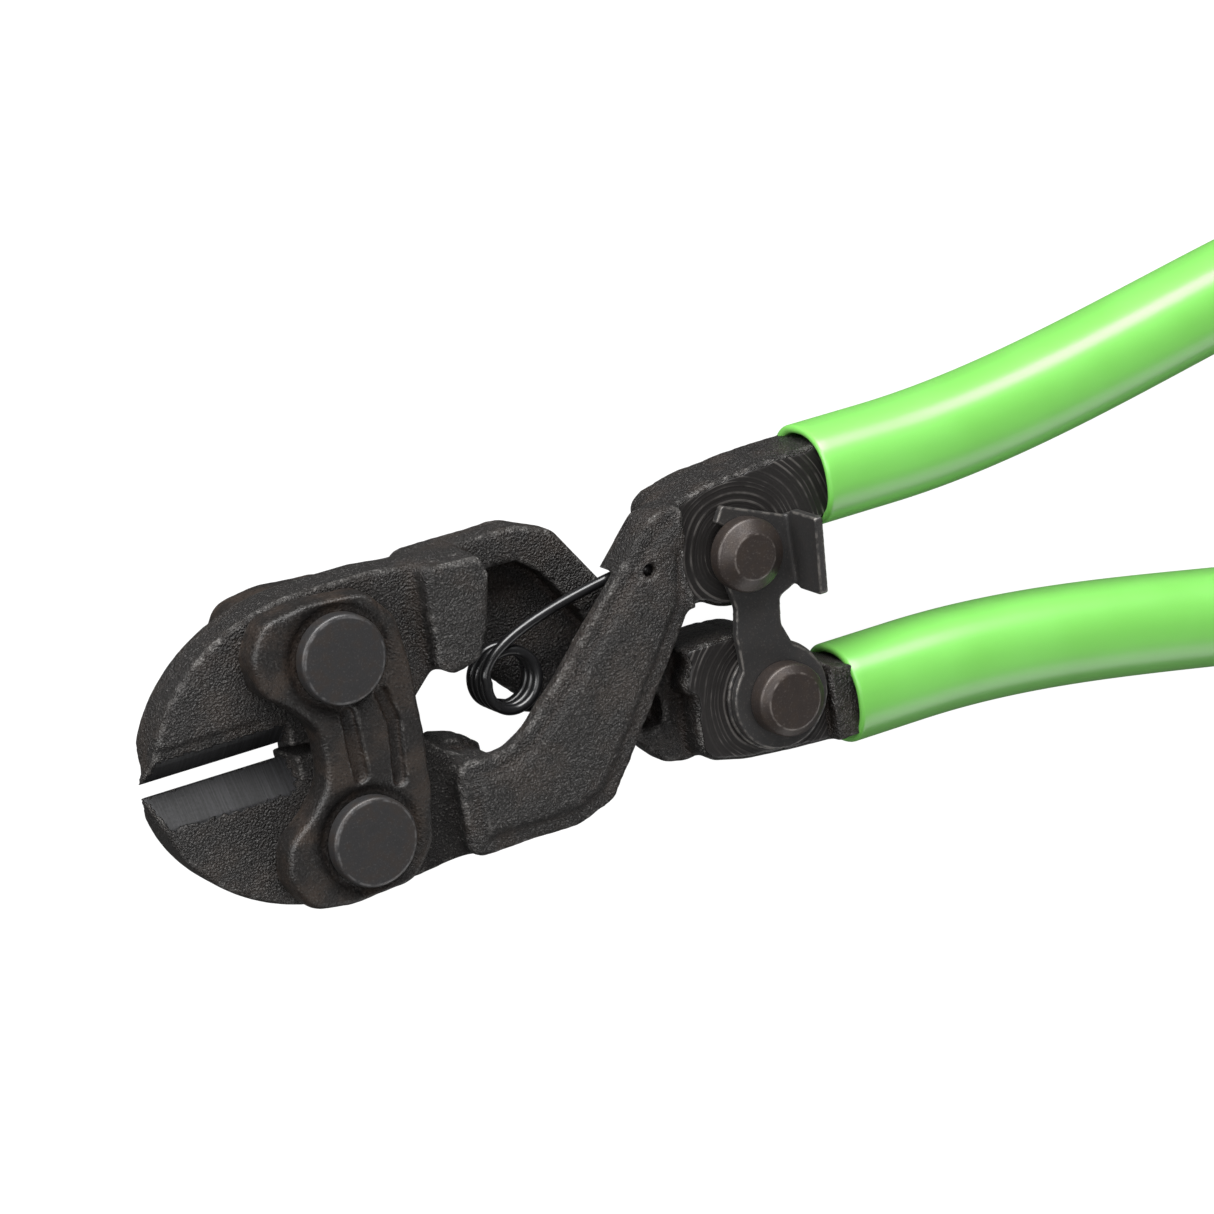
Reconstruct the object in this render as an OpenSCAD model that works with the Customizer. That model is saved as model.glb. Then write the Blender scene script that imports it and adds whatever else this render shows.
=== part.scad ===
// Pocket bolt cutters: two crossing forged levers on a pair of link plates,
// opened by a torsion spring and held shut by a swinging latch.
//
// The mechanism is drawn about the point midway between the two pivots:
// +X runs to the handle ends, +Y to the upper handle, +Z to the latch side.
// It is then moved so that the origin is the middle of the underside.

/* [Head] */
// Distance between the two pivot rivets
pivot_gap = 24; // [23.5:0.1:24.5]
// Distance from the pivots to the blade tips
nose_reach = 26.2; // [25:0.1:28]
// Distance from the axis to the back of a jaw
jaw_back = 20.2; // [20:0.1:21]
// Distance from the axis to the back of a lever's arm
arm_back = 19.6; // [19:0.1:20]
// Gap between the blades with the latch on
blade_gap = 1.6; // [1.4:0.1:2]
// Height of the middle of that gap above the axis
blade_lift = 0.5; // [0:0.1:0.6]
// Thickness of a jaw between the link plates
jaw_thickness = 6.4; // [6:0.1:6.6]
// Thickness of a link plate
link_thickness = 4.4; // [4:0.1:4.6]
// Radius of a pivot rivet's head
pivot_head_r = 5.8; // [5.4:0.1:6]
// Height of a pivot rivet's head
pivot_head_h = 2.2; // [1.8:0.1:2.4]

/* [Levers] */
// Thickness of a forged lever where its two halves meet
lever_thickness = 12.8; // [12.6:0.1:13]
// Height of the milled latch faces above the middle plane
milled_face_z = 4.2; // [4:0.1:4.4]

/* [Handles] */
// Distance from the pivots to the handle ends
handle_reach = 180; // [176:1:190]
// Distance from the pivots to the open end of a grip
grip_start = 72.5; // [72:0.5:75]
// Half the width of a grip across the tool
grip_half_width = 6.7; // [6.6:0.1:7.2]
// Half the thickness of a grip
grip_half_thickness = 7; // [6.9:0.1:7.6]

/* [Latch] */
// Thickness of the latch plate
latch_thickness = 1.2; // [1:0.1:1.3]
// Height of the thumb tab above the latch plate
tab_height = 8.2; // [6:0.1:9]
// Radius of the two pin heads
pin_head_r = 4.9; // [4.7:0.1:5]

/* [Spring] */
// Diameter of the spring wire
wire_d = 1.4; // [1.3:0.1:1.4]
// Mean radius of the coil
coil_r = 3.8; // [3.6:0.1:3.9]

/* [Hidden] */
$fn = 64;
eps = 0.01;

steel = [0.20, 0.18, 0.17];
dark_steel = [0.13, 0.13, 0.14];
lime = [0.50, 0.88, 0.33];

// Heights above the middle plane
pivot_y = pivot_gap / 2;
jaw_z = jaw_thickness / 2;
lever_z = lever_thickness / 2;
plate_gap = 0.05;
plate_z = jaw_z + plate_gap;
plate_top = plate_z + link_thickness;
dish_depth = 0.5;
head_top = plate_top - dish_depth + pivot_head_h;
arm_z = 0.1;
panel_rise = 0.6;
pocket_z = 3.6;

// Shanks and bores
pivot_r = 4;
pin_r = 3;
neck_r = 1.5;
run_fit = 0.05;
tight_fit = 0.02;

// Latch stack on the milled faces
washer_thickness = 0.6;
latch_z = milled_face_z + washer_thickness + plate_gap;
latch_top = latch_z + latch_thickness;
pin_head_h = 3.4;
tail_r = 4.2;
tail_h = 1.5;
catch_at = [58.8, 9.3];
latch_at = [61.5, -11.1];

// Motion, in degrees: the path that the catch pin's neck takes across the
// latch plate is cut out of it, so both values shape the hook.
squeeze = 1.5;
opening = 6;
latch_ratio = 4;

// The coil stands across the middle plane, close to the tool's axis
coil_x = 25.5;
coil_y = 0.6;
coil_turns = 3;
coil_sweep = coil_turns * 360 + 80;
hook_hole = [45.2, 10.6];

underside_z = head_top;
mid_x = (handle_reach - nose_reach) / 2;

function arc(c, rx, ry, from, to, steps) =
    [for (i = [0 : steps]) let (a = from + (to - from) * i / steps)
        [c[0] + rx * cos(a), c[1] + ry * sin(a)]];
function turned(p, a) = [p[0] * cos(a) - p[1] * sin(a), p[0] * sin(a) + p[1] * cos(a)];
function cubic(p0, p1, p2, p3, t) =
    p0 * pow(1 - t, 3) + 3 * p1 * t * pow(1 - t, 2) + 3 * p2 * t * t * (1 - t) + p3 * pow(t, 3);

module place() translate([-mid_x, 0, underside_z]) children();
module slab(low, high) translate([0, 0, low]) linear_extrude(high - low) children();
module round_corners(r) offset(r = r, $fn = 32) offset(delta = -r) children();
module round_hollows(r) offset(r = -r, $fn = 32) offset(delta = r) children();

// ---------------------------------------------------------------- levers
// A lever is drawn as the lower jaw with the upper handle. Its arm lies on
// the latch side of the middle plane, and its twin is turned over about X.

module jaw_outline(edge) {
    back = arc([-1, 0], nose_reach - 1.7, jaw_back, 188, 270, 14);
    relief = tan(opening + 2.5);
    round_hollows(2)
        polygon(concat(
            [[-nose_reach, -edge]],
            back,
            [[8, -jaw_back], [13, -arm_back], [21, -arm_back], [21, -6.8], [17, -6.6], [14, -5.2],
             [10.5, -10.5 * relief - 0.2], [0.5, -0.25], [-0.5, -0.25], [-6, -edge]]));
}

// The slope of an arm follows the line between its two outer corners
arm_heel = [35.6, -17.6];
arm_shoulder = [50.6, 4.2];

module arm_outline() {
    round_hollows(3) round_corners(2.2)
        polygon([[14, -6.4], [14, -arm_back], [30.2, -arm_back], arm_heel, arm_shoulder,
                 [52, 12], [52, 18.4], [46.4, 17.2], [40.6, 11], [36.2, 6.6], [29.2, -0.6],
                 [24.4, -5], [21.5, -6.6], [18.5, -6.9]]);
}

module tang_outline() {
    round_hollows(2) {
        round_corners(1.4)
            polygon([[50.2, 3.4], [50, 9], [49.6, 14.6], [49.9, 16.4], [51.5, 17.6], [56, 18.7], [64, 19.5],
                     [75, 20], [75, 10.2], [71.5, 9.8], [66, 7.5], [58, 4.5]]);
        translate([58.3, 9.5]) circle(7.6);
    }
}

// Web of the upper lever behind the coil
module spring_seat() {
    round_corners(0.8)
        polygon([[22.8, -7], [22.8, -2.2], [30, 5], [36, 6.8], [34, 2], [26, -7]]);
}

// Squared inner corner of the lower handle's tang
module nub_outline() {
    round_corners(0.6)
        polygon([[48.8, 1.7], [57.5, 1.7], [57.5, 8], [49, 8], [48.6, 6.5], [49.8, 3.8]]);
}

module block_outline() {
    round_corners(1.2)
        polygon([[13.6, -arm_back], [22.1, -arm_back + 0.5], [22.8, -16.4],
                 [21.4, -9.8], [19.8, -5.9], [15.8, -4.9], [13.5, -6.3]]);
}

// The steel core that the grip is pushed onto
core_end = 152;
core_half_width = 4.3;
core_z = 4.7;
module core_outline() {
    steps = 14;
    side = function (sign) [for (i = [0 : steps])
        let (x = 74 + (core_end - 74) * i / steps) [x, handle_y(x) + sign * core_half_width]];
    round_corners(2) polygon(concat(side(-1), [for (i = [steps : -1 : 0]) side(1)[i]]));
}

// Recess in an arm's inner face for the coil and its leg
module spring_pocket() {
    round_corners(1.5)
        polygon([[21, -15], [29.8, -15], [33.2, -12.4], [47.2, 8.4], [47.2, 12.1],
                 [44.8, 12.1], [38.5, 10.5], [36, 8], [34, 7], [18, 7], [18, -6.5], [20.4, -7.5]]);
}

// A ground bevel from the cutting edge up to a jaw's cheek
module bevel(edge, width, side, from, to) {
    slope = atan(jaw_z / width);
    translate([from, -edge, 0])
        mirror([0, 0, side < 0 ? 1 : 0])
            rotate([-slope, 0, 0]) translate([0, -width * 1.5, 0])
                cube([to - from, width * 2, jaw_z * 2]);
}

module milled_face(side, pin) {
    mirror([0, 0, side < 0 ? 1 : 0]) slab(milled_face_z, lever_z + 1) {
        if (side > 0) {
            translate(pin) circle(8.5);
            translate([51.2, -2]) square([24.8, 24]);
        } else intersection() {
            translate(pin) circle(13.3);
            translate([44, -2]) square([25, 26]);
        }
    }
}

module forged_lever(pin, mill_side) {
    edge = blade_gap / 2 - mill_side * blade_lift;
    difference() {
        union() {
            slab(-jaw_z, jaw_z) jaw_outline(edge);
            slab(arm_z, lever_z - panel_rise) arm_outline();
            slab(lever_z - panel_rise - eps, lever_z) offset(delta = -2.6) arm_outline();
            slab(-lever_z, lever_z) tang_outline();
            slab(-lever_z, arm_z) block_outline();
            slab(-core_z, core_z) core_outline();
        }
        bevel(edge, 4.3, 1, -nose_reach - 1, -6);
        bevel(edge, 3.1, -1, -nose_reach - 1, -6.5);
        slab(arm_z - 1, pocket_z)
            difference() {
                spring_pocket();
                translate([0, -30]) square([16, 60]);
            }
        for (side = [-1, 1])
            translate([66, 0, side * lever_z]) rotate([0, side * 7.5, 0])
                translate([0, 0, side > 0 ? 0 : -4]) cube([14, 30, 4]);
        milled_face(mill_side, pin);
        translate([0, -pivot_y, -lever_z]) cylinder(r = pivot_r + run_fit, h = lever_thickness);
        translate([pin[0], pin[1], -lever_z - 1])
            cylinder(r = pin_r + tight_fit, h = lever_thickness + 2);
        translate([hook_hole[0], hook_hole[1], 0])
            cylinder(r = 0.85, h = lever_thickness, $fn = 24);
    }
}

// A round tooth on the lower jaw sits in a notch in the upper one, so that
// the two levers always turn by the same angle.
tooth_r = 1.7;
module timing_tooth() {
    slab(-jaw_z, jaw_z) {
        circle(tooth_r);
        translate([-tooth_r, -3]) square([tooth_r * 2, 3]);
    }
}

module lower_jaw_lever() {
    color(steel) place() {
        forged_lever(catch_at, 1);
        timing_tooth();
    }
}

module upper_jaw_lever() {
    color(steel) place() difference() {
        rotate([180, 0, 0]) {
            forged_lever([latch_at[0], -latch_at[1]], -1);
            slab(-milled_face_z, lever_z) nub_outline();
            slab(pocket_z, lever_z - panel_rise) spring_seat();
        }
        translate([0, 0, -jaw_z - 1]) cylinder(r = tooth_r + 0.2, h = jaw_thickness + 2);
    }
}

// ---------------------------------------------------------------- head

module link_outline() {
    half = [[9.9, 0], [9.6, 8.6], [8.7, 15], [5.4, 19.1], [-3.5, 19.8], [-9.3, 18.9],
            [-11.7, 14.6], [-11, 9.8], [-7.2, 6.9], [-4.2, 3.4]];
    low = [for (i = [len(half) - 1 : -1 : 1]) [half[i][0], -half[i][1]]];
    round_hollows(5) round_corners(3.2) polygon(concat(half, low));
}

module link_plate() {
    difference() {
        slab(plate_z, plate_top - 0.5) link_outline();
        link_bores();
    }
    difference() {
        slab(plate_top - 0.5 - eps, plate_top) offset(delta = -0.35) link_outline();
        link_bores();
        for (side = [-1, 1])
            translate([0, side * pivot_y, plate_top - dish_depth])
                cylinder(r = pivot_head_r + 1, h = dish_depth + 1);
        slab(plate_top - dish_depth, plate_top + 1) {
            stiffening_groove([[-0.1, 4.4], [0.3, -3.6]], 1.7);
            stiffening_groove([[4.9, 5.9], [5.9, 1.9], [5.4, -5.6]], 1.5);
        }
    }
}

module link_bores() {
    for (side = [-1, 1])
        translate([0, side * pivot_y, plate_z - 1])
            cylinder(r = pivot_r + tight_fit, h = link_thickness + 2);
}

module stiffening_groove(route, width) {
    for (i = [0 : len(route) - 2]) hull()
        for (end = [route[i], route[i + 1]]) translate(end) circle(d = width, $fn = 24);
}

module front_link_plate() color(steel) place() link_plate();
module rear_link_plate() color(steel) place() rotate([180, 0, 0]) link_plate();

module pivot_rivet(side) {
    seat = plate_top - dish_depth;
    translate([0, side * pivot_y, 0]) {
        cylinder(r = pivot_r, h = seat * 2, center = true);
        for (face = [0, 1]) mirror([0, 0, face]) translate([0, 0, seat]) {
            cylinder(r = pivot_head_r, h = pivot_head_h - 0.4);
            translate([0, 0, pivot_head_h - 0.4])
                cylinder(r1 = pivot_head_r, r2 = pivot_head_r - 0.4, h = 0.4);
        }
    }
}

module upper_pivot_rivet() color(steel) place() pivot_rivet(1);
module lower_pivot_rivet() color(steel) place() pivot_rivet(-1);

// ---------------------------------------------------------------- spring
// One wire: a leg to the upper handle's lever, the coil, and a leg to the
// lower handle's lever, each leg ending in a short hook through its hole.

coil_height = coil_sweep / 360 * (wire_d + 0.06);
coil_steps = 20;
leg_steps = 6;
leg_z = 1.6;
function coil_point(a) =
    [coil_x + coil_r * cos(a), coil_y + coil_r * sin(a),
     coil_height * (0.5 - (a - 170) / coil_sweep)];
function leg_point(side, t) =
    let (c = [coil_x, coil_y],
         bends = side > 0
             ? [c + [-coil_r - 0.1, 1.5], c + [-coil_r + 0.6, 5.2], [coil_x + 5, 8.4]]
             : [c + [-0.4, -coil_r - 0.1], c + [2.4, -coil_r - 1.1], [37.5, -7.9]])
    cubic([each bends[0], side * coil_height / 2], [each bends[1], side * 2.2],
          [each bends[2], side * leg_z],
          [hook_hole[0] - 1.2, side * (hook_hole[1] - 0.4), side * leg_z], t);
function hook_point(side, dx, dy, z) = [hook_hole[0] + dx, side * (hook_hole[1] + dy), side * z];
function leg(side) = concat(
    [hook_point(side, 0, 0, 5.4), hook_point(side, 0, 0, 3.2), hook_point(side, -0.35, -0.1, 2.1)],
    [for (i = [leg_steps : -1 : 0]) leg_point(side, i / leg_steps)]);
function reversed(list) = [for (i = [len(list) - 1 : -1 : 0]) list[i]];
spring_route = concat(
    leg(1),
    [for (i = [1 : coil_turns * coil_steps - 1])
        coil_point(170 + coil_sweep * i / (coil_turns * coil_steps))],
    reversed(leg(-1)));

function unit(v) = v / norm(v);
module tube(route, r, sides) {
    last = len(route) - 1;
    along = [for (i = [0 : last]) unit(route[min(i + 1, last)] - route[max(i - 1, 0)])];
    ring = function (i)
        let (out = unit(cross(along[i], abs(along[i][2]) > 0.8 ? [1, 0, 0] : [0, 0, 1])),
             up = cross(out, along[i]))
        [for (k = [0 : sides - 1])
            route[i] + r * (cos(360 * k / sides) * out + sin(360 * k / sides) * up)];
    points = [for (i = [0 : last]) each ring(i)];
    walls = [for (i = [0 : last - 1], k = [0 : sides - 1])
        [i * sides + k, i * sides + (k + 1) % sides,
         (i + 1) * sides + (k + 1) % sides, (i + 1) * sides + k]];
    ends = [[for (k = [sides - 1 : -1 : 0]) k], [for (k = [0 : sides - 1]) last * sides + k]];
    polyhedron(points, concat(walls, ends));
}

module torsion_spring() color(dark_steel) place() tube(spring_route, wire_d / 2, 8);

// ---------------------------------------------------------------- latch

bend_x = 66.2;
module latch_outline() {
    d = latch_at;
    difference() {
        round_hollows(1) {
            translate(d) circle(7);
            round_corners(0.5)
                polygon([d + [-5, 3], d + [-5.3, 9.6], d + [-4.7, 13.2], d + [-6.8, 22.6],
                         d + [-6.6, 23.8], d + [-4.6, 27.2], [bend_x, d[1] + 23.5],
                         [bend_x, d[1] + 14.4], d + [1.9, 13.2], d + [1.5, 9.6], d + [3.6, 4.6]]);
        }
        neck_path();
    }
}

// Where the catch pin's neck passes as the handles open, seen from the latch
module neck_path() {
    clearance = 0.3;
    at = function (lever_angle)
        latch_at + turned(turned(catch_at, 2 * lever_angle) - latch_at, latch_ratio * lever_angle);
    angles = [-squeeze, -0.8, 0, 0.8, 1.7, 3];
    for (i = [0 : len(angles) - 2]) hull()
        for (a = [angles[i], angles[i + 1]]) translate(at(a)) circle(neck_r + clearance, $fn = 32);
}

module latch_plate() {
    color(dark_steel) place() {
        difference() {
            slab(latch_z, latch_top) latch_outline();
            translate([latch_at[0], latch_at[1], latch_z - 1])
                cylinder(r = pin_r + run_fit, h = latch_thickness + 2);
        }
        // Thumb tab, bent up along the edge of the hook
        translate([bend_x - eps, latch_at[1] + 14.4, latch_z])
            rotate([90, 0, 90]) linear_extrude(latch_thickness)
                round_corners(0.5) polygon([[0, 0], [9.1, 0], [9.8, 2], [9.8, tab_height],
                                            [-0.8, tab_height - 1.3], [-0.8, 1.6]]);
    }
}

module headed_pin(at, body_r, body_top, neck, back_face) {
    seat = latch_top + plate_gap;
    translate([at[0], at[1], 0]) {
        translate([0, 0, back_face]) cylinder(r = body_r, h = body_top - back_face);
        translate([0, 0, body_top - 1]) cylinder(r = neck, h = seat - body_top + 1);
        translate([0, 0, seat - eps]) {
            cylinder(r = pin_head_r, h = pin_head_h - 1);
            translate([0, 0, pin_head_h - 1]) cylinder(r1 = pin_head_r, r2 = pin_head_r - 0.9, h = 1);
        }
        translate([0, 0, back_face - tail_h]) cylinder(r1 = tail_r - 0.5, r2 = tail_r, h = tail_h);
    }
}

module catch_pin() color(steel) place() headed_pin(catch_at, pin_r, milled_face_z, neck_r, -lever_z);
module latch_rivet() color(steel) place() headed_pin(latch_at, pin_r, latch_z, pin_r, -lever_z);
module latch_washer() {
    color(dark_steel) place() translate([latch_at[0], latch_at[1], milled_face_z]) difference() {
        cylinder(r = 7.3, h = washer_thickness);
        translate([0, 0, -1]) cylinder(r = pin_r + tight_fit, h = washer_thickness + 2);
    }
}

// ---------------------------------------------------------------- grips

// Height of a handle's centreline above the tool's axis
grip_low = 15.1;
grip_high = 27.2;
function handle_y(x) =
    let (t = max(0, min(1, (x - 84) / (handle_reach - 84))))
    grip_low + (grip_high - grip_low) * (3 * t * t - 2 * t * t * t);
function handle_slope(x) = atan(handle_y(x + 0.5) - handle_y(x - 0.5));

grip_rings = 28;
grip_end_rings = 7;
grip_end_length = 9;
grip_sides = 28;
grip_straight = handle_reach - grip_end_length;
grip_stations = concat(
    [for (i = [0 : grip_rings - 1]) grip_start + (grip_straight - grip_start) * i / grip_rings],
    [for (i = [0 : grip_end_rings - 1]) grip_straight + grip_end_length * sin(82 * i / (grip_end_rings - 1))]);
function end_scale(x) = sqrt(1 - pow(max(0, x - grip_straight) / grip_end_length, 2));
function squared(v) = sign(v) * pow(abs(v), 0.82);

module grip() {
    ring = function (x)
        let (a = handle_slope(x), s = end_scale(x))
        [for (k = [0 : grip_sides - 1])
            let (u = squared(cos(360 * k / grip_sides)) * grip_half_width * s,
                 w = squared(sin(360 * k / grip_sides)) * grip_half_thickness * s)
            [x - u * sin(a), handle_y(x) + u * cos(a), w]];
    points = [for (x = grip_stations) each ring(x)];
    last = len(grip_stations) - 1;
    walls = [for (i = [0 : last - 1], k = [0 : grip_sides - 1])
        [i * grip_sides + k, (i + 1) * grip_sides + k,
         (i + 1) * grip_sides + (k + 1) % grip_sides, i * grip_sides + (k + 1) % grip_sides]];
    ends = [[for (k = [0 : grip_sides - 1]) k],
            [for (k = [grip_sides - 1 : -1 : 0]) last * grip_sides + k]];
    polyhedron(points, concat(walls, ends));
}

module upper_grip() {
    color(lime) place() difference() {
        grip();
        forged_lever(catch_at, 1);
    }
}

module lower_grip() {
    color(lime) place() rotate([180, 0, 0]) difference() {
        grip();
        forged_lever([latch_at[0], -latch_at[1]], -1);
    }
}

upper_jaw_lever();
lower_jaw_lever();
front_link_plate();
rear_link_plate();
upper_pivot_rivet();
lower_pivot_rivet();
torsion_spring();
latch_plate();
latch_rivet();
latch_washer();
catch_pin();
upper_grip();
lower_grip();
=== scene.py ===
"""Looks for the pocket bolt cutters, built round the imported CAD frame."""
import math

import bmesh
import bpy
import numpy as np
from mathutils import Matrix, Vector


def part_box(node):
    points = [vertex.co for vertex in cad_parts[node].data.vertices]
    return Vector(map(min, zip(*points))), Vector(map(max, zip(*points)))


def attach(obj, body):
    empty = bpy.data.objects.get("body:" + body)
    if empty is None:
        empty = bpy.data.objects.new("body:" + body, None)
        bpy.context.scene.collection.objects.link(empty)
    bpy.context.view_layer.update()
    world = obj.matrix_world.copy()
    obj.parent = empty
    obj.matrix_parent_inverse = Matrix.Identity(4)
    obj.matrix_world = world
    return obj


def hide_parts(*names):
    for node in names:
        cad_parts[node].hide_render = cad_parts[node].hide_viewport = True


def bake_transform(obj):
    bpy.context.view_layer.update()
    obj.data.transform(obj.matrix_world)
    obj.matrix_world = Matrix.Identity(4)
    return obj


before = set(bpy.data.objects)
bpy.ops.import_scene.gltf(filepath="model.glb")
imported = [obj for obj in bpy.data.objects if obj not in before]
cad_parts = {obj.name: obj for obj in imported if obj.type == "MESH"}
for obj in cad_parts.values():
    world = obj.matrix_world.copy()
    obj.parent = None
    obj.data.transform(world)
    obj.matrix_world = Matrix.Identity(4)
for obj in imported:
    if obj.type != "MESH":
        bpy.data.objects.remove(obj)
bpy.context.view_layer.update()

scene = bpy.context.scene
MM = 0.001


def middle(node):
    low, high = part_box(node)
    return (low + high) / 2


# ---------------------------------------------------------------- places
# Millimetres about the point midway between the pivots, as the CAD is drawn:
# +X to the handle ends, +Y to the upper handle, +Z to the latch side.
HUB = (middle("upper_pivot_rivet") + middle("lower_pivot_rivet")) / 2


def spot(x, y, z=0.0):
    """A point of the mechanism, in the row frame's metres."""
    return HUB + Vector((x, y, z)) * MM


def about_hub(point):
    """A point of the row frame, in the mechanism's millimetres."""
    return (Vector(point) - HUB) / MM


pivot = about_hub(middle("upper_pivot_rivet"))
catch = about_hub(middle("catch_pin"))
hinge = about_hub(middle("latch_rivet"))
grip_low, grip_high = (about_hub(p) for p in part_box("upper_grip"))

BLADE_EDGES = {1: 0.3, -1: 1.3}     # from the axis to the lower and the upper cutting edge
BLADE_END = -5.5        # x where the ground blades end
JAW_HALF = 3.2          # half a jaw's thickness between the link plates
FRONT_BEVEL = 4.3       # width of the lower blade's bevel on the latch side
BACK_BEVEL = 3.1        # width of its bevel on the other side
CHEEK_LINE = 5.8        # y of the step across the upper jaw's cheek
CHEEK_END = -8.5        # x where that step has faded out
CHEEK_STEP = 0.32       # its depth
MILLED_X = 44           # the milled faces under the latch start here
MILLED_Z = 4.2          # and this is their height
PLATE_TOP = 7.65        # height of the link plates' outer faces
LATCH_Z = 4.85          # height of the latch plate's underside
BEND_X = 66.2           # where its thumb tab is bent up
HANDLE_NEAR_Y = 15.1    # y of a handle's centreline at its near end
HANDLE_FAR_Y = 27.2     # and at its far end
HANDLE_BEND_X = 84      # where it starts to curve outwards


# ---------------------------------------------------------------- meshes
def waves(points, size, seed, count=20):
    """A smooth random field with bumps about size across, mostly between -1 and 1."""
    rng = np.random.default_rng(seed)
    total = np.zeros(len(points))
    for _ in range(count):
        way = rng.normal(size=3)
        way *= 2 * math.pi / size * rng.uniform(0.7, 1.4) / np.linalg.norm(way)
        total += np.sin(points @ way + rng.uniform(0, 2 * math.pi))
    return total / math.sqrt(count)


def drop_crumbs(mesh):
    """Deletes the specks that a remesh leaves beside the largest shell."""
    form = bmesh.new()
    form.from_mesh(mesh)
    unseen, shells = set(form.verts), []
    while unseen:
        edge = [unseen.pop()]
        shell = list(edge)
        while edge:
            found = {e.other_vert(v) for v in edge for e in v.link_edges} & unseen
            unseen -= found
            edge = list(found)
            shell += edge
        shells.append(shell)
    crumbs = [v for shell in sorted(shells, key=len)[:-1] for v in shell]
    if crumbs:
        bmesh.ops.delete(form, geom=crumbs, context="VERTS")
        form.to_mesh(mesh)
    form.free()


class Skin:
    """A dense, even, closed copy of a CAD node that can be worn, rounded and marked."""

    def __init__(self, node, voxel):
        self.node = node
        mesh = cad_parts[node].data.copy()
        mesh.transform(Matrix.Scale(1 / MM, 4) @ Matrix.Translation(-HUB))
        self.ob = bpy.data.objects.new(node + "_skin", mesh)
        scene.collection.objects.link(self.ob)
        even = self.ob.modifiers.new("even", "REMESH")
        even.mode = "VOXEL"
        even.voxel_size = voxel * 1
        graph = bpy.context.evaluated_depsgraph_get()
        self.mesh = bpy.data.meshes.new_from_object(self.ob.evaluated_get(graph))
        drop_crumbs(self.mesh)
        self.ob.modifiers.clear()
        self.ob.data = self.mesh
        self.co = self.read("vertices", "co")
        self.edges = np.zeros(len(self.mesh.edges) * 2, np.int64)
        self.mesh.edges.foreach_get("vertices", self.edges)
        self.edges = self.edges.reshape(-1, 2)
        self.links = np.bincount(self.edges.ravel(), minlength=len(self.co))

    def read(self, group, name):
        values = np.zeros(len(getattr(self.mesh, group)) * 3, np.float32)
        getattr(self.mesh, group).foreach_get(name, values)
        return values.reshape(-1, 3).astype(float)

    def put(self):
        self.mesh.vertices.foreach_set("co", self.co.astype(np.float32).ravel())
        self.mesh.update()

    def normals(self):
        self.put()
        return self.read("vertex_normals", "vector")

    def around(self, values):
        """The mean of each vertex's neighbours."""
        a, b = self.edges.T
        columns = values.reshape(len(values), -1)
        sums = [np.bincount(a, column[b], len(values)) + np.bincount(b, column[a], len(values))
                for column in columns.T]
        return (np.stack(sums, 1) / self.links[:, None]).reshape(values.shape)

    def blur(self, values, times):
        for _ in range(times):
            values = (values + self.around(values)) / 2
        return values

    def relax(self, times, weight):
        for _ in range(times):
            self.co += 0.5 * weight[:, None] * (self.around(self.co) - self.co)

    def edge_wear_and_highlight(self, scale):
        """1 on sharp outer edges, 0 on flats, -1 in sharp hollows."""
        bulge = -np.sum((self.around(self.co) - self.co) * self.normals(), 1)
        return np.clip(self.blur(bulge, 2) / scale, -1, 1)

    def store(self, name, values):
        layer = self.mesh.attributes.new(name, "FLOAT", "POINT")
        layer.data.foreach_set("value", values.astype(np.float32))

    def finish(self, body, material):
        self.put()
        self.mesh.transform(Matrix.Translation(HUB) @ Matrix.Scale(MM, 4))
        self.mesh.shade_smooth()
        dress(self.ob, body, material)
        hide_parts(self.node)


def dress(ob, body, material):
    ob.data.materials.clear()
    ob.data.materials.append(material)
    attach(ob, body)


def grid_mesh(name, rings):
    """A closed tube through rings of equally many points, in millimetres about the hub."""
    sides = len(rings[0])
    points = [spot(*p) for ring in rings for p in ring]
    faces = [(i * sides + k, i * sides + (k + 1) % sides,
              (i + 1) * sides + (k + 1) % sides, (i + 1) * sides + k)
             for i in range(len(rings) - 1) for k in range(sides)]
    faces.append(tuple(reversed(range(sides))))
    faces.append(tuple((len(rings) - 1) * sides + k for k in range(sides)))
    mesh = bpy.data.meshes.new(name)
    mesh.from_pydata(points, [], faces)
    mesh.validate()
    mesh.shade_smooth()
    ob = bpy.data.objects.new(name, mesh)
    scene.collection.objects.link(ob)
    return ob


def lathe(name, at, profile, sides=96):
    """A turned solid: profile is its (radius, height) pairs from the underside to the top."""
    profile = [p for p, last in zip(profile, [None] + profile) if p != last]
    rings = [[(at[0] + r * math.cos(2 * math.pi * k / sides),
               at[1] + r * math.sin(2 * math.pi * k / sides), z) for k in range(sides)]
             for r, z in profile]
    return grid_mesh(name, rings)


def fillet(corner, start, end, steps=5):
    """Points of a rounded corner from start to end, both (radius, height)."""
    return [tuple((1 - t) ** 2 * s + 2 * t * (1 - t) * c + t * t * e
                  for s, c, e in zip(start, corner, end))
            for t in (i / steps for i in range(steps + 1))]


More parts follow.
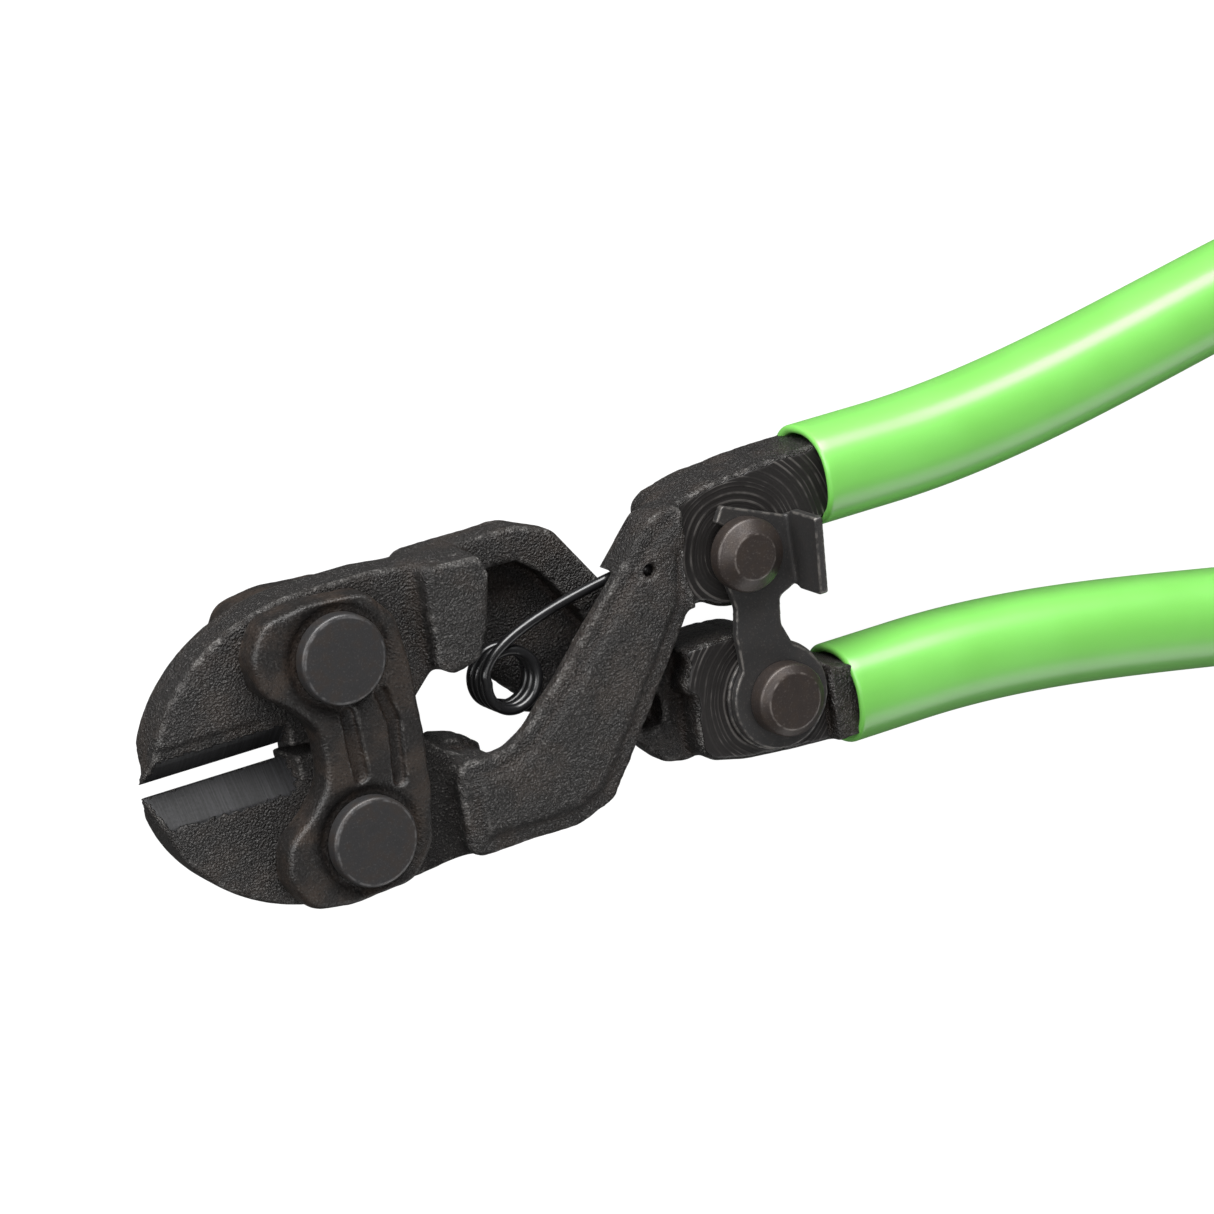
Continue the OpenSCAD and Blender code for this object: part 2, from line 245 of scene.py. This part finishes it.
# ---------------------------------------------------------------- materials
class Shader:
    """A Principled material with a few short ways to add nodes."""

    def __init__(self, name, color, roughness, metallic=0.0, **sockets):
        self.material = bpy.data.materials.new(name)
        self.material.use_nodes = True
        self.tree = self.material.node_tree
        self.surface = self.tree.nodes["Principled BSDF"]
        for socket, value in {"Base Color": (*color, 1), "Roughness": roughness,
                              "Metallic": metallic, **sockets}.items():
            self.surface.inputs[socket].default_value = value
        self.place = self.add("ShaderNodeTexCoord").outputs["Object"]

    def add(self, kind, **settings):
        node = self.tree.nodes.new(kind)
        for name, value in settings.items():
            setattr(node, name, value)
        return node

    def feed(self, socket, value):
        if hasattr(value, "links"):
            self.tree.links.new(value, socket)
        else:
            socket.default_value = value

    def math(self, operation, *values, clamp=False):
        node = self.add("ShaderNodeMath", operation=operation, use_clamp=clamp)
        for socket, value in zip(node.inputs, values):
            self.feed(socket, value)
        return node.outputs[0]

    def mark(self, name):
        """A value stored on the mesh."""
        return self.add("ShaderNodeAttribute", attribute_name=name).outputs["Fac"]

    def noise(self, size, detail=2.0, stretch=(1, 1, 1)):
        """Noise with features about size millimetres across, near 0.5 on average."""
        mapping = self.add("ShaderNodeMapping")
        mapping.inputs["Scale"].default_value = stretch
        self.feed(mapping.inputs["Vector"], self.place)
        node = self.add("ShaderNodeTexNoise")
        self.feed(node.inputs["Vector"], mapping.outputs[0])
        node.inputs["Scale"].default_value = 1 / (size * MM)
        node.inputs["Detail"].default_value = detail
        return node.outputs["Fac"]

    def ramp(self, value, low, high):
        """0 below low and 1 above high, smoothly."""
        node = self.add("ShaderNodeMapRange", interpolation_type="SMOOTHSTEP")
        for socket, number in zip(node.inputs, (value, low, high, 0.0, 1.0)):
            self.feed(socket, number)
        return node.outputs[0]

    def mix(self, share, a, b):
        """Colours a and b mixed, with share of b."""
        node = self.add("ShaderNodeMix", data_type="RGBA")
        self.feed(node.inputs[0], share)
        for socket, value in ((node.inputs[6], a), (node.inputs[7], b)):
            self.feed(socket, (*value, 1) if isinstance(value, tuple) else value)
        return node.outputs[2]

    def color(self, value):
        self.feed(self.surface.inputs["Base Color"], value)

    def roughness(self, value):
        self.feed(self.surface.inputs["Roughness"], value)

    def bump(self, height, depth):
        """Raises the surface by height, 0 to 1, times depth in millimetres."""
        node = self.add("ShaderNodeBump")
        node.inputs["Distance"].default_value = depth * MM
        self.feed(node.inputs["Height"], height)
        above = self.surface.inputs["Normal"]
        if above.is_linked:
            self.feed(node.inputs["Normal"], above.links[0].from_socket)
        self.feed(above, node.outputs[0])


BLACK = (0.0108, 0.0096, 0.0091)
BROWN = (0.036, 0.026, 0.020)
# Rubbed wear with a painted highlight, for the sharp outer edges
WORN_AND_HIGHLIGHT = (0.145, 0.139, 0.133)
HOLLOW = (0.020, 0.013, 0.0095)
# Painted shade for the recesses between parts
PAINTED_SHADE = (0.0035, 0.0026, 0.0021)
# Painted glint for the forged skin's grain
PAINTED_GLINT = (0.15, 0.144, 0.138)
# Painted shade for the grain's pits
PIT_SHADE = (0.004, 0.0036, 0.0033)
GROUND_DARK, GROUND_LIGHT = (0.0025, 0.0026, 0.0030), (0.013, 0.013, 0.0148)
MILLED_DARK, MILLED_LIGHT = (0.0135, 0.0122, 0.0118), (0.080, 0.074, 0.070)


def forged_steel(name, grain, depth, coarse, brown, glints, scuffs_and_highlights):
    """Black oxide over a rough forged skin, with ground and milled faces where marked.

    grain is the size of the skin's grains, and depth and coarse are the heights of the
    grains and of the lumps, in millimetres. The last three are shares from 0 to 1: of brown
    tone, of painted glints on the grain's high points, and of worn edges with painted
    highlights.
    """
    look = Shader(name, BLACK, 0.5, 0.15, **{"Specular IOR Level": 0.4})
    wear_and_highlight = look.mark("wear_and_highlight")
    fray = look.math("MULTIPLY_ADD", look.noise(0.7, 3.0), 0.9, -0.45)
    ground = look.math("ADD", look.mark("ground"), look.math("MULTIPLY", fray, 1.5))
    ground = look.ramp(ground, 0.42, 0.58)
    milled = look.math("ADD", look.mark("milled"), look.math("MULTIPLY", fray, 0.5))
    milled = look.ramp(milled, 0.45, 0.6)
    skin = look.math("SUBTRACT", 1.0, look.math("ADD", ground, milled, clamp=True))
    sand = look.noise(grain, 3.0)
    lumps = look.noise(grain * 3.2, 3.0)
    blotch = look.noise(4.5, 4.0)
    tone = look.mix(look.math("MULTIPLY", look.ramp(blotch, 0.42, 0.68), brown), BLACK, BROWN)
    hollow = look.math("MULTIPLY", look.ramp(look.math("MULTIPLY", wear_and_highlight, -1.0), 0.1, 0.9), 0.6)
    tone = look.mix(hollow, tone, HOLLOW)
    # Painted shade: darker in the recesses beside the link plates, the arm's step and the
    # spring's pocket
    painted_shade = look.mark("painted_shade")
    tone = look.mix(look.math("MULTIPLY", painted_shade, 0.9), tone, PAINTED_SHADE)
    # Painted glints: light flecks on the grain's high points
    glint = look.math("MULTIPLY", look.ramp(sand, 0.57, 0.72), skin)
    tone = look.mix(look.math("MULTIPLY", glint, glints), tone, PAINTED_GLINT)
    # Painted shade: darker in the grain's low points, the pits
    pit_shade = look.math("MULTIPLY", look.ramp(look.math("SUBTRACT", 1.0, sand), 0.56, 0.68), skin)
    tone = look.mix(look.math("MULTIPLY", pit_shade, 0.8), tone, PIT_SHADE)
    chips = look.ramp(look.noise(grain * 1.1, 2.0), 0.5, 0.62)
    # Lighter sharp outer edges: rubbed wear with painted highlights
    scuff_and_highlight = look.math("MULTIPLY", look.ramp(wear_and_highlight, 0.32, 0.9),
                      look.ramp(look.noise(1.8, 4.0), 0.44, 0.6))
    scuff_and_highlight = look.math("MULTIPLY", scuff_and_highlight, look.math("MULTIPLY_ADD", chips, 0.75, 0.25))
    tone = look.mix(look.math("MULTIPLY", scuff_and_highlight, scuffs_and_highlights), tone, WORN_AND_HIGHLIGHT)
    # Ground blades: fine scratches across the bevel
    scratch = look.noise(0.8, 5.0, stretch=(4.0, 0.10, 0.10))
    blade = look.mix(look.ramp(scratch, 0.38, 0.72), GROUND_DARK, GROUND_LIGHT)
    tone = look.mix(ground, tone, blade)
    # Milled faces: uneven arcs left by the cutter round each pin
    arcs = look.add("ShaderNodeTexNoise", noise_dimensions="1D")
    arcs.inputs["Detail"].default_value = 3.0
    arcs.inputs["Scale"].default_value = 1.0
    wander = look.math("MULTIPLY", look.noise(9.0, 1.0), 2.0)
    from_pin = look.math("MULTIPLY", look.mark("arc"), 1.9)
    look.feed(arcs.inputs["W"], look.math("ADD", from_pin, wander))
    fade = look.ramp(look.noise(3.5, 2.0), 0.38, 0.62)
    line = look.math("MULTIPLY", look.ramp(arcs.outputs["Fac"], 0.5, 0.68),
                     look.math("MULTIPLY_ADD", fade, 0.88, 0.12))
    tone = look.mix(milled, tone, look.mix(line, MILLED_DARK, MILLED_LIGHT))
    look.color(tone)
    rough = look.math("MULTIPLY_ADD", sand, 0.3, 0.26)
    rough = look.math("SUBTRACT", rough, look.math("MULTIPLY", scuff_and_highlight, 0.12))
    rough = look.math("ADD", rough, look.math("MULTIPLY", painted_shade, 0.35))
    look.roughness(look.math("ADD", rough, look.math("MULTIPLY", ground, 0.2)))
    look.bump(look.math("MULTIPLY", lumps, skin), coarse)
    look.bump(look.math("MULTIPLY", sand, skin), depth)
    look.bump(look.math("MULTIPLY", scratch, ground), 0.025)
    look.bump(look.math("MULTIPLY", arcs.outputs["Fac"], milled), 0.08)
    return look.material


def smooth_steel(name, dark, light, brown=0.5, rough=0.38, grain=0.012):
    """Black oxide on turned or stamped steel, with lighter edges where marked: rubbed wear with
    painted highlights.
    """
    look = Shader(name, dark, rough, 0.4)
    mottle = look.noise(1.6, 4.0)
    fine = look.noise(0.25, 2.0)
    tone = look.mix(look.math("MULTIPLY", look.ramp(mottle, 0.42, 0.66), brown), dark, BROWN)
    tone = look.mix(look.math("MULTIPLY", look.ramp(fine, 0.56, 0.75), 0.25), tone, light)
    # Lighter marked edges: rubbed wear with painted highlights
    scuff_and_highlight = look.math("MULTIPLY", look.ramp(look.mark("wear_and_highlight"), 0.25, 0.85),
                      look.ramp(look.noise(1.1, 4.0), 0.40, 0.62))
    tone = look.mix(look.math("MULTIPLY", scuff_and_highlight, 0.7), tone, light)
    look.color(tone)
    look.roughness(look.math("MULTIPLY_ADD", mottle, 0.25, rough - 0.1))
    look.bump(fine, grain)
    look.bump(mottle, 0.03)
    return look.material


LIME = (0.15, 0.45, 0.08)
LIME_DARK, LIME_LIGHT = (0.142, 0.435, 0.074), (0.155, 0.465, 0.085)
# Painted shade for the inner face of a grip's open end
LIME_SHADE_INSIDE = (0.05, 0.30, 0.01)


def lime_vinyl():
    """Glossy dipped vinyl, with painted shade inside a grip's open end."""
    look = Shader("lime_vinyl", LIME, 0.38, **{
        "Coat Weight": 0.5, "Coat Roughness": 0.26, "Subsurface Weight": 0.08,
        "Subsurface Radius": (0.4, 1.0, 0.2), "Subsurface Scale": 0.0015})
    cloud = look.noise(14.0, 2.0)
    tone = look.mix(look.ramp(cloud, 0.35, 0.65), LIME_DARK, LIME_LIGHT)
    # Painted shade: darker green on the inner face of a grip's open end
    look.color(look.mix(look.math("MULTIPLY", look.mark("inner_shade"), 0.6), tone, LIME_SHADE_INSIDE))
    look.bump(look.noise(3.5, 2.0), 0.02)
    return look.material


def spring_wire():
    """Oiled black spring wire."""
    look = Shader("spring_wire", (0.006, 0.006, 0.0066), 0.3, 0.0, **{
        "Coat Weight": 0.25, "Coat Roughness": 0.1})
    look.roughness(look.math("MULTIPLY_ADD", look.noise(0.8, 3.0), 0.2, 0.2))
    look.bump(look.noise(0.5, 2.0), 0.01)
    return look.material


forging = forged_steel("forged_lever", grain=0.30, depth=0.50, coarse=0.15,
                       brown=0.40, glints=0.5, scuffs_and_highlights=0.7)
plate_steel = forged_steel("forged_plate", grain=0.32, depth=0.15, coarse=0.05,
                           brown=0.7, glints=0.15, scuffs_and_highlights=0.4)
rivet_steel = smooth_steel("rivet_head", (0.034, 0.033, 0.0338), (0.12, 0.117, 0.118),
                           brown=0.45, grain=0.02)
pin_steel = smooth_steel("pin_head", (0.034, 0.027, 0.0245), (0.15, 0.132, 0.122),
                         brown=0.6, rough=0.36)
sheet_steel = smooth_steel("latch_sheet", (0.036, 0.035, 0.035), (0.14, 0.13, 0.12),
                           brown=0.15, grain=0.006)
vinyl = lime_vinyl()
wire_steel = spring_wire()


# ---------------------------------------------------------------- levers
def between(values, start, end):
    """0 up to start and 1 past end, evenly between, in either direction."""
    return np.clip((values - start) / (end - start), 0, 1)


def lever_painted_shade(x, y, z, facing):
    """Painted shade in the recesses between parts, from 0 to 1, on a lever turned like the
    lower jaw's.
    """
    low = between(abs(z), 5.6, 4.4)     # the faces that the link plates or the arm stand over
    gap = low * between(x, 8.2, 9.2) * between(x, 16.5, 15) * (z > 0)   # plate to arm
    pocket = low * between(x, 17, 19) * between(x, 43, 39) * (facing[:, 2] * z > 0)
    from_rivet = np.minimum(np.hypot(x, y - pivot[1]), np.hypot(x, y + pivot[1]))
    seam = between(from_rivet, 12.2, 9.6) * between(abs(z), 4.6, 3.8)   # round a plate's ends
    waist = between(x, -9.5, -7) * between(abs(y), 9.5, 7.5) * low * (x < 9)
    return np.maximum.reduce([gap, 0.7 * pocket, 0.7 * seam, 0.7 * waist])


def forged_lever(node, side, pin, body):
    """side is 1 for the lever drawn with its arm on the latch side, -1 for its twin."""
    skin = Skin(node, 0.28)
    turn = np.array((1, side, side))
    x, y, z = (skin.co * turn).T
    facing = skin.normals() * turn
    bevels = [np.array((0, JAW_HALF, FRONT_BEVEL)), np.array((0, JAW_HALF, -BACK_BEVEL))]
    on_bevel = np.max([facing @ (b / np.linalg.norm(b)) for b in bevels], 0)
    cut = BLADE_EDGES[side]
    ground = (on_bevel > 0.97) & (x < BLADE_END) & (y > -cut - FRONT_BEVEL - 0.4)
    height = skin.co[:, 2]
    milled = (skin.normals()[:, 2] > 0.97) & (abs(height - MILLED_Z) < 0.12) & (x > MILLED_X)
    edge = (x < BLADE_END + 0.5) & (y > -cut - 1)
    soft = 1 - skin.blur(np.where(ground | milled | edge, 1.0, 0.0), 2)
    skin.relax(12, np.clip(soft, 0.04, 1))
    wear_and_highlight = skin.edge_wear_and_highlight(0.016)
    if side < 0:    # a low step along the upper jaw's cheek
        step = between(skin.co[:, 1], CHEEK_LINE + 0.3, CHEEK_LINE - 0.3)
        step *= between(height, JAW_HALF - 0.8, JAW_HALF - 0.1)
        skin.co[:, 2] -= CHEEK_STEP * step * between(x, CHEEK_END, CHEEK_END - 2)
    exposed = soft * between(abs(z), JAW_HALF + 0.2, JAW_HALF + 0.7)
    dents = 0.5 + 0.5 * waves(skin.co, 1.3, 3)
    swell = 0.5 + 0.5 * waves(skin.co, 7.0, 4)
    skin.co -= skin.normals() * (exposed * (0.05 * dents + 0.12 * swell))[:, None]
    # Stores the painted shade of the recesses between parts
    skin.store("painted_shade", skin.blur(lever_painted_shade(x, y, z, facing), 4))
    # The edges' rubbed wear and painted highlight, stored for the material
    skin.store("wear_and_highlight", wear_and_highlight)
    skin.store("ground", skin.blur(ground.astype(float), 22))
    skin.store("milled", skin.blur(milled.astype(float), 3))
    skin.store("arc", np.hypot(skin.co[:, 0] - pin[0], skin.co[:, 1] - pin[1]))
    skin.finish(body, forging)


forged_lever("lower_jaw_lever", 1, catch, "lever_b")
forged_lever("upper_jaw_lever", -1, hinge, "lever_a")


# ---------------------------------------------------------------- head
# Each groove's route and half its width, on both link plates
GROOVES = (([(-0.1, 4.4), (0.3, -3.6)], 1.0), ([(4.9, 5.9), (5.9, 1.9), (5.4, -5.6)], 0.85))
GROOVE_DEPTH = 0.55
DISH_DEPTH = 0.35       # of the hollow round each rivet head
DISH_R = 8.4


def off_route(points, route):
    """The distance of each point from a route of straight stretches."""
    nearest = np.full(len(points), 1e9)
    for a, b in zip(route, route[1:]):
        a, b = np.array(a), np.array(b)
        t = np.clip((points - a) @ (b - a) / ((b - a) @ (b - a)), 0, 1)
        nearest = np.minimum(nearest, np.linalg.norm(points - a - t[:, None] * (b - a), axis=1))
    return nearest


def smooth_step(values):
    t = np.clip(values, 0, 1)
    return t * t * (3 - 2 * t)


def link_plate(node):
    skin = Skin(node, 0.2)
    out = np.sign(skin.co[:, 2].mean())
    inner = skin.co[:, 2] * out < JAW_HALF + 0.3
    skin.relax(30, np.where(inner, 0.05, 1.0))
    flat = skin.co[:, :2] * (1, out)
    face = smooth_step((skin.co[:, 2] * out - PLATE_TOP + 1.6) / 0.8)
    sink = np.zeros(len(flat))
    for route, half_width in GROOVES:
        sink += GROOVE_DEPTH * smooth_step((half_width + 0.2 - off_route(flat, route)) / 0.4)
    for y in (pivot[1], -pivot[1]):
        from_rivet = np.hypot(flat[:, 0], flat[:, 1] - y)
        sink += DISH_DEPTH * smooth_step((DISH_R - from_rivet) / 2.4)
    skin.co[:, 2] -= out * sink * face
    wear_and_highlight = skin.edge_wear_and_highlight(0.014)
    exposed = np.where(inner, 0.0, 1.0)
    dents = 0.5 + 0.5 * waves(skin.co, 1.6, 7)
    swell = 0.5 + 0.5 * waves(skin.co, 6.0, 8)
    skin.co -= skin.normals() * (exposed * (0.025 * dents + 0.05 * swell))[:, None]
    # The plate's edges: rubbed wear with a painted highlight
    skin.store("wear_and_highlight", wear_and_highlight)
    skin.finish("head", plate_steel)


RIVET_SHANK_R = 4.0
RIVET_HEAD_HEIGHT = 2.2


def pivot_rivet(node):
    """A rivet with the same low, rounded head at both ends."""
    at = about_hub(middle(node))
    low, high = (about_hub(p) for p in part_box(node))
    head_r, top = (high[0] - low[0]) / 2, high[2]
    neck = top - RIVET_HEAD_HEIGHT
    crown = [(RIVET_SHANK_R, 0), (RIVET_SHANK_R, neck - 0.01), (head_r - 0.25, neck)]
    crown += fillet((head_r, neck), (head_r - 0.25, neck), (head_r, neck + 0.25))
    crown += fillet((head_r, top - 0.05), (head_r, top - 0.6), (head_r - 0.7, top - 0.05))
    crown += [(head_r - 1.6, top - 0.01), (2.5, top), (0.3, top)]
    profile = [(r, -z) for r, z in reversed(crown)] + crown[1:]
    ob = lathe(node + "_turned", at, profile)
    mark_rim_wear_and_highlight(ob, at, head_r - 0.4, 0.3, top - 0.5)
    dress(ob, "head", rivet_steel)
    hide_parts(node)


def mark_rim_wear_and_highlight(ob, at, radius, width, above):
    """Rubbed wear with a painted highlight on a ring of the given radius, further than above
    from the middle plane.
    """
    values = []
    for v in ob.data.vertices:
        p = about_hub(v.co)
        r = math.hypot(p[0] - at[0], p[1] - at[1])
        values.append(max(0, 1 - abs(r - radius) / width) if abs(p[2]) > above else 0)
    layer = ob.data.attributes.new("wear_and_highlight", "FLOAT", "POINT")
    layer.data.foreach_set("value", values)


for node in ("front_link_plate", "rear_link_plate"):
    link_plate(node)
for node in ("upper_pivot_rivet", "lower_pivot_rivet"):
    pivot_rivet(node)


# ---------------------------------------------------------------- latch
PIN_SHANK_R = 3.0
PIN_HEAD_HEIGHT = 3.4
PIN_FOOT_R = 4.2        # of the collar at its end on the back
PIN_FOOT_HEIGHT = 1.5


def headed_pin(node, body, neck_r, chamfer):
    """A pin with a chamfered head over a neck that stands on the milled face."""
    at = about_hub(middle(node))
    low, high = (about_hub(p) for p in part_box(node))
    head_r, top, foot = (high[0] - low[0]) / 2, high[2], low[2]
    seat = top - PIN_HEAD_HEIGHT
    profile = [(0.2, foot)]
    profile += fillet((3.8, foot), (2.5, foot), (PIN_FOOT_R, foot + PIN_FOOT_HEIGHT - 0.1))
    profile += [(PIN_FOOT_R, foot + PIN_FOOT_HEIGHT), (PIN_SHANK_R, foot + PIN_FOOT_HEIGHT),
                (PIN_SHANK_R, MILLED_Z), (neck_r, MILLED_Z), (neck_r, seat)]
    profile += fillet((head_r, seat), (head_r - 0.5, seat), (head_r, seat + 0.5))
    brow = top - min(1.3, chamfer * 0.75)       # where the chamfer starts
    profile += fillet((head_r, brow + 0.1), (head_r, brow - 0.3), (head_r - 0.3, brow + 0.3))
    flat_r = head_r - chamfer
    profile += fillet((flat_r, top), (flat_r + 0.3, top - 0.25), (flat_r - 0.3, top))
    profile += [(1.5, top), (0.2, top)]
    ob = lathe(node + "_turned", at, profile)
    mark_rim_wear_and_highlight(ob, at, flat_r, 0.25, top - 0.4)
    dress(ob, body, pin_steel)
    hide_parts(node)


headed_pin("catch_pin", "lever_b", neck_r=1.35, chamfer=1.9)
headed_pin("latch_rivet", "lever_a", neck_r=PIN_SHANK_R, chamfer=1.15)


def latch():
    plate = Skin("latch_plate", 0.14)
    from_bend = np.hypot(plate.co[:, 0] - BEND_X - 0.4, plate.co[:, 2] - LATCH_Z - 0.4)
    plate.relax(18, between(from_bend, 1.6, 0.6))
    plate.relax(5, np.ones(len(plate.co)))
    # The latch's edges: rubbed wear with a painted highlight
    plate.store("wear_and_highlight", plate.edge_wear_and_highlight(0.008))
    plate.finish("latch", sheet_steel)
    washer = Skin("latch_washer", 0.14)
    washer.relax(2, np.ones(len(washer.co)))
    washer.store("wear_and_highlight", washer.edge_wear_and_highlight(0.01))
    washer.finish("lever_a", sheet_steel)


latch()


# ---------------------------------------------------------------- spring
WIRE_R = 0.7
COIL = Vector((25.5, 0.6, 0))
COIL_R = 3.8
COIL_START = math.radians(170)
COIL_SWEEP = math.radians(3 * 360 + 80)
COIL_HALF_HEIGHT = COIL_SWEEP / (4 * math.pi) * (2 * WIRE_R + 0.06)
COIL_STEPS = 120
LEG_STEPS = 60
LEG_Z = 1.6             # distance of the legs' far ends from the middle plane
HOOK = Vector((45.2, 10.6, 0))      # where a leg is hooked through its lever


def bezier(points, t):
    a, b, c, d = points
    return a * (1 - t) ** 3 + 3 * b * t * (1 - t) ** 2 + 3 * c * t * t * (1 - t) + d * t ** 3


def spring_half(side):
    """Half the coil and one leg; side is 1 for the leg to the upper handle's lever."""
    def to(x, y, z):
        return Vector((x, y * side, z * side))

    route = []
    for i in range(COIL_STEPS + 1):
        t = 0.5 - side * 0.5 * i / COIL_STEPS
        angle = COIL_START + COIL_SWEEP * t
        route.append(COIL + Vector((COIL_R * math.cos(angle), COIL_R * math.sin(angle),
                                    COIL_HALF_HEIGHT * (1 - 2 * t))))
    if side > 0:
        bends = [COIL + Vector((-COIL_R - 0.1, 1.5, COIL_HALF_HEIGHT)),
                 COIL + Vector((-COIL_R + 0.6, 5.2, 2.2)), to(COIL[0] + 5, 8.4, LEG_Z)]
    else:
        bends = [COIL + Vector((-0.4, -COIL_R - 0.1, -COIL_HALF_HEIGHT)),
                 COIL + Vector((2.4, -COIL_R - 1.1, -2.2)), to(37.5, 7.9, LEG_Z)]
    leg = bends + [to(HOOK[0] - 1.2, HOOK[1] - 0.4, LEG_Z)]
    route += [bezier(leg, i / LEG_STEPS) for i in range(LEG_STEPS + 1)]
    return route + [to(HOOK[0] - 0.35, HOOK[1] - 0.1, LEG_Z + 0.5),
                    to(HOOK[0], HOOK[1], 3.2), to(HOOK[0], HOOK[1], 5.4)]


def tube(name, route, radius, sides=14):
    rings = []
    side = Vector((0, 0, 1))
    last = len(route) - 1
    for i, p in enumerate(route):
        along = (route[min(i + 1, last)] - route[max(i - 1, 0)]).normalized()
        side = (side - along * side.dot(along)).normalized()
        other = along.cross(side)
        turns = [2 * math.pi * k / sides for k in range(sides)]
        rings.append([tuple(p + radius * (side * math.cos(a) + other * math.sin(a)))
                      for a in turns])
    return grid_mesh(name, rings)


def spring(name, side):
    ob = tube(name, spring_half(side), WIRE_R)
    ob.data.materials.append(wire_steel)
    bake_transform(ob)
    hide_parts("torsion_spring")


spring("spring_upper_half", 1)
spring("spring_lower_half", -1)


# ---------------------------------------------------------------- grips
GRIP_HALF_WIDTH = 6.67
GRIP_HALF_THICKNESS = 7.0
GRIP_WALL = 1.1
GRIP_END = 9.0          # length of the domed end
GRIP_SQUARENESS = 0.86  # 1 is an ellipse, and less is squarer
GRIP_SIDES = 64


def handle_y(x):
    far = grip_high[0]
    t = min(1, max(0, (x - HANDLE_BEND_X) / (far - HANDLE_BEND_X)))
    return HANDLE_NEAR_Y + (HANDLE_FAR_Y - HANDLE_NEAR_Y) * (3 * t * t - 2 * t ** 3)


def grip_ring(side, x, shrink, scale=1.0):
    """A section across a grip, shrunk by a wall's thickness and scaled."""
    slope = math.atan(handle_y(x + 0.5) - handle_y(x - 0.5))
    ring = []
    for k in range(GRIP_SIDES):
        a = 2 * math.pi * k / GRIP_SIDES
        c, s = math.cos(a), math.sin(a)
        u = math.copysign(abs(c) ** GRIP_SQUARENESS, c) * (GRIP_HALF_WIDTH - shrink) * scale
        w = math.copysign(abs(s) ** GRIP_SQUARENESS, s) * (GRIP_HALF_THICKNESS - shrink) * scale
        ring.append((x - u * math.sin(slope),
                     side * (handle_y(x) + u * math.cos(slope)), w * side))
    return ring


def grip(name, node, side, body):
    near, far = grip_low[0], grip_high[0]
    straight = far - GRIP_END
    lip = GRIP_WALL / 2
    inside = [(near + 5, GRIP_WALL), (near + 1.2, GRIP_WALL)]
    mouth = [(near + lip - lip * math.sin(a), GRIP_WALL - lip + lip * math.cos(a))
             for a in (math.pi * i / 10 for i in range(11))]
    body_steps = 90
    outside = [(near + lip + (straight - near - lip) * i / body_steps, 0)
               for i in range(1, body_steps + 1)]
    end_steps = 14
    dome = [(straight + GRIP_END * math.sin(a), 0, max(0.02, math.cos(a)))
            for a in (math.pi / 2 * i / end_steps for i in range(1, end_steps + 1))]
    ob = grid_mesh(name, [grip_ring(side, *at) for at in inside + mouth + outside + dome])
    hidden = len(inside) * GRIP_SIDES
    # Marks the hidden inner rings for the painted shade
    inner_shade = [1.0] * hidden + [0.0] * (len(ob.data.vertices) - hidden)
    ob.data.attributes.new("inner_shade", "FLOAT", "POINT").data.foreach_set("value", inner_shade)
    dress(ob, body, vinyl)
    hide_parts(node)


grip("upper_grip_vinyl", "upper_grip", 1, "lever_b")
grip("lower_grip_vinyl", "lower_grip", -1, "lever_a")


# ---------------------------------------------------------------- studio
CAMERA_AT = (-236.29, 185.30, 550.43)
CAMERA_TURN = (-11.613, -28.9455, -9.893)
CAMERA_LENS = 148.3
CENTRE = (0, 0, 0)


def floor():
    bpy.ops.mesh.primitive_plane_add(size=6, location=(0, 0, -0.0002))
    plane = bpy.context.object
    plane.name = "floor"
    white = Shader("floor_white", (0.1, 0.1, 0.1), 0.9, **{
        "Emission Color": (1, 1, 1, 1), "Emission Strength": 0.99, "Specular IOR Level": 0.0})
    plane.data.materials.append(white.material)
    # It doesn't light the tool's underside
    plane.visible_diffuse = plane.visible_glossy = False


def softbox(name, at, aim, size, power):
    light = bpy.data.lights.new(name, "AREA")
    light.shape = "RECTANGLE"
    light.size, light.size_y = size
    light.energy = power
    ob = bpy.data.objects.new(name, light)
    ob.location = at
    ob.rotation_euler = (Vector(aim) - Vector(at)).to_track_quat("-Z", "Y").to_euler()
    scene.collection.objects.link(ob)


def camera():
    lens = bpy.data.cameras.new("camera")
    lens.sensor_width = 36
    lens.lens = CAMERA_LENS
    lens.clip_start, lens.clip_end = 0.05, 20
    ob = bpy.data.objects.new("camera", lens)
    ob.location = spot(*CAMERA_AT)
    ob.rotation_euler = [math.radians(a) for a in CAMERA_TURN]
    scene.collection.objects.link(ob)
    scene.camera = ob


def pale_world(strength):
    scene.world = bpy.data.worlds.new("studio")
    scene.world.use_nodes = True
    background = scene.world.node_tree.nodes["Background"]
    background.inputs["Color"].default_value = (1, 1, 1, 1)
    background.inputs["Strength"].default_value = strength


floor()
camera()
softbox("top_light", (-0.08, 0.85, 0.36), CENTRE, (1.2, 0.5), 24)
softbox("left_light", (-0.85, 0.28, 0.28), CENTRE, (0.5, 0.8), 8)
softbox("low_light", (0.40, -0.75, 0.40), (0.03, 0, 0), (1.0, 0.5), 3.5)
softbox("front_light", (-0.35, 0.20, 1.00), CENTRE, (0.6, 0.6), 2.5)
pale_world(0.10)
scene.view_settings.view_transform = "Standard"
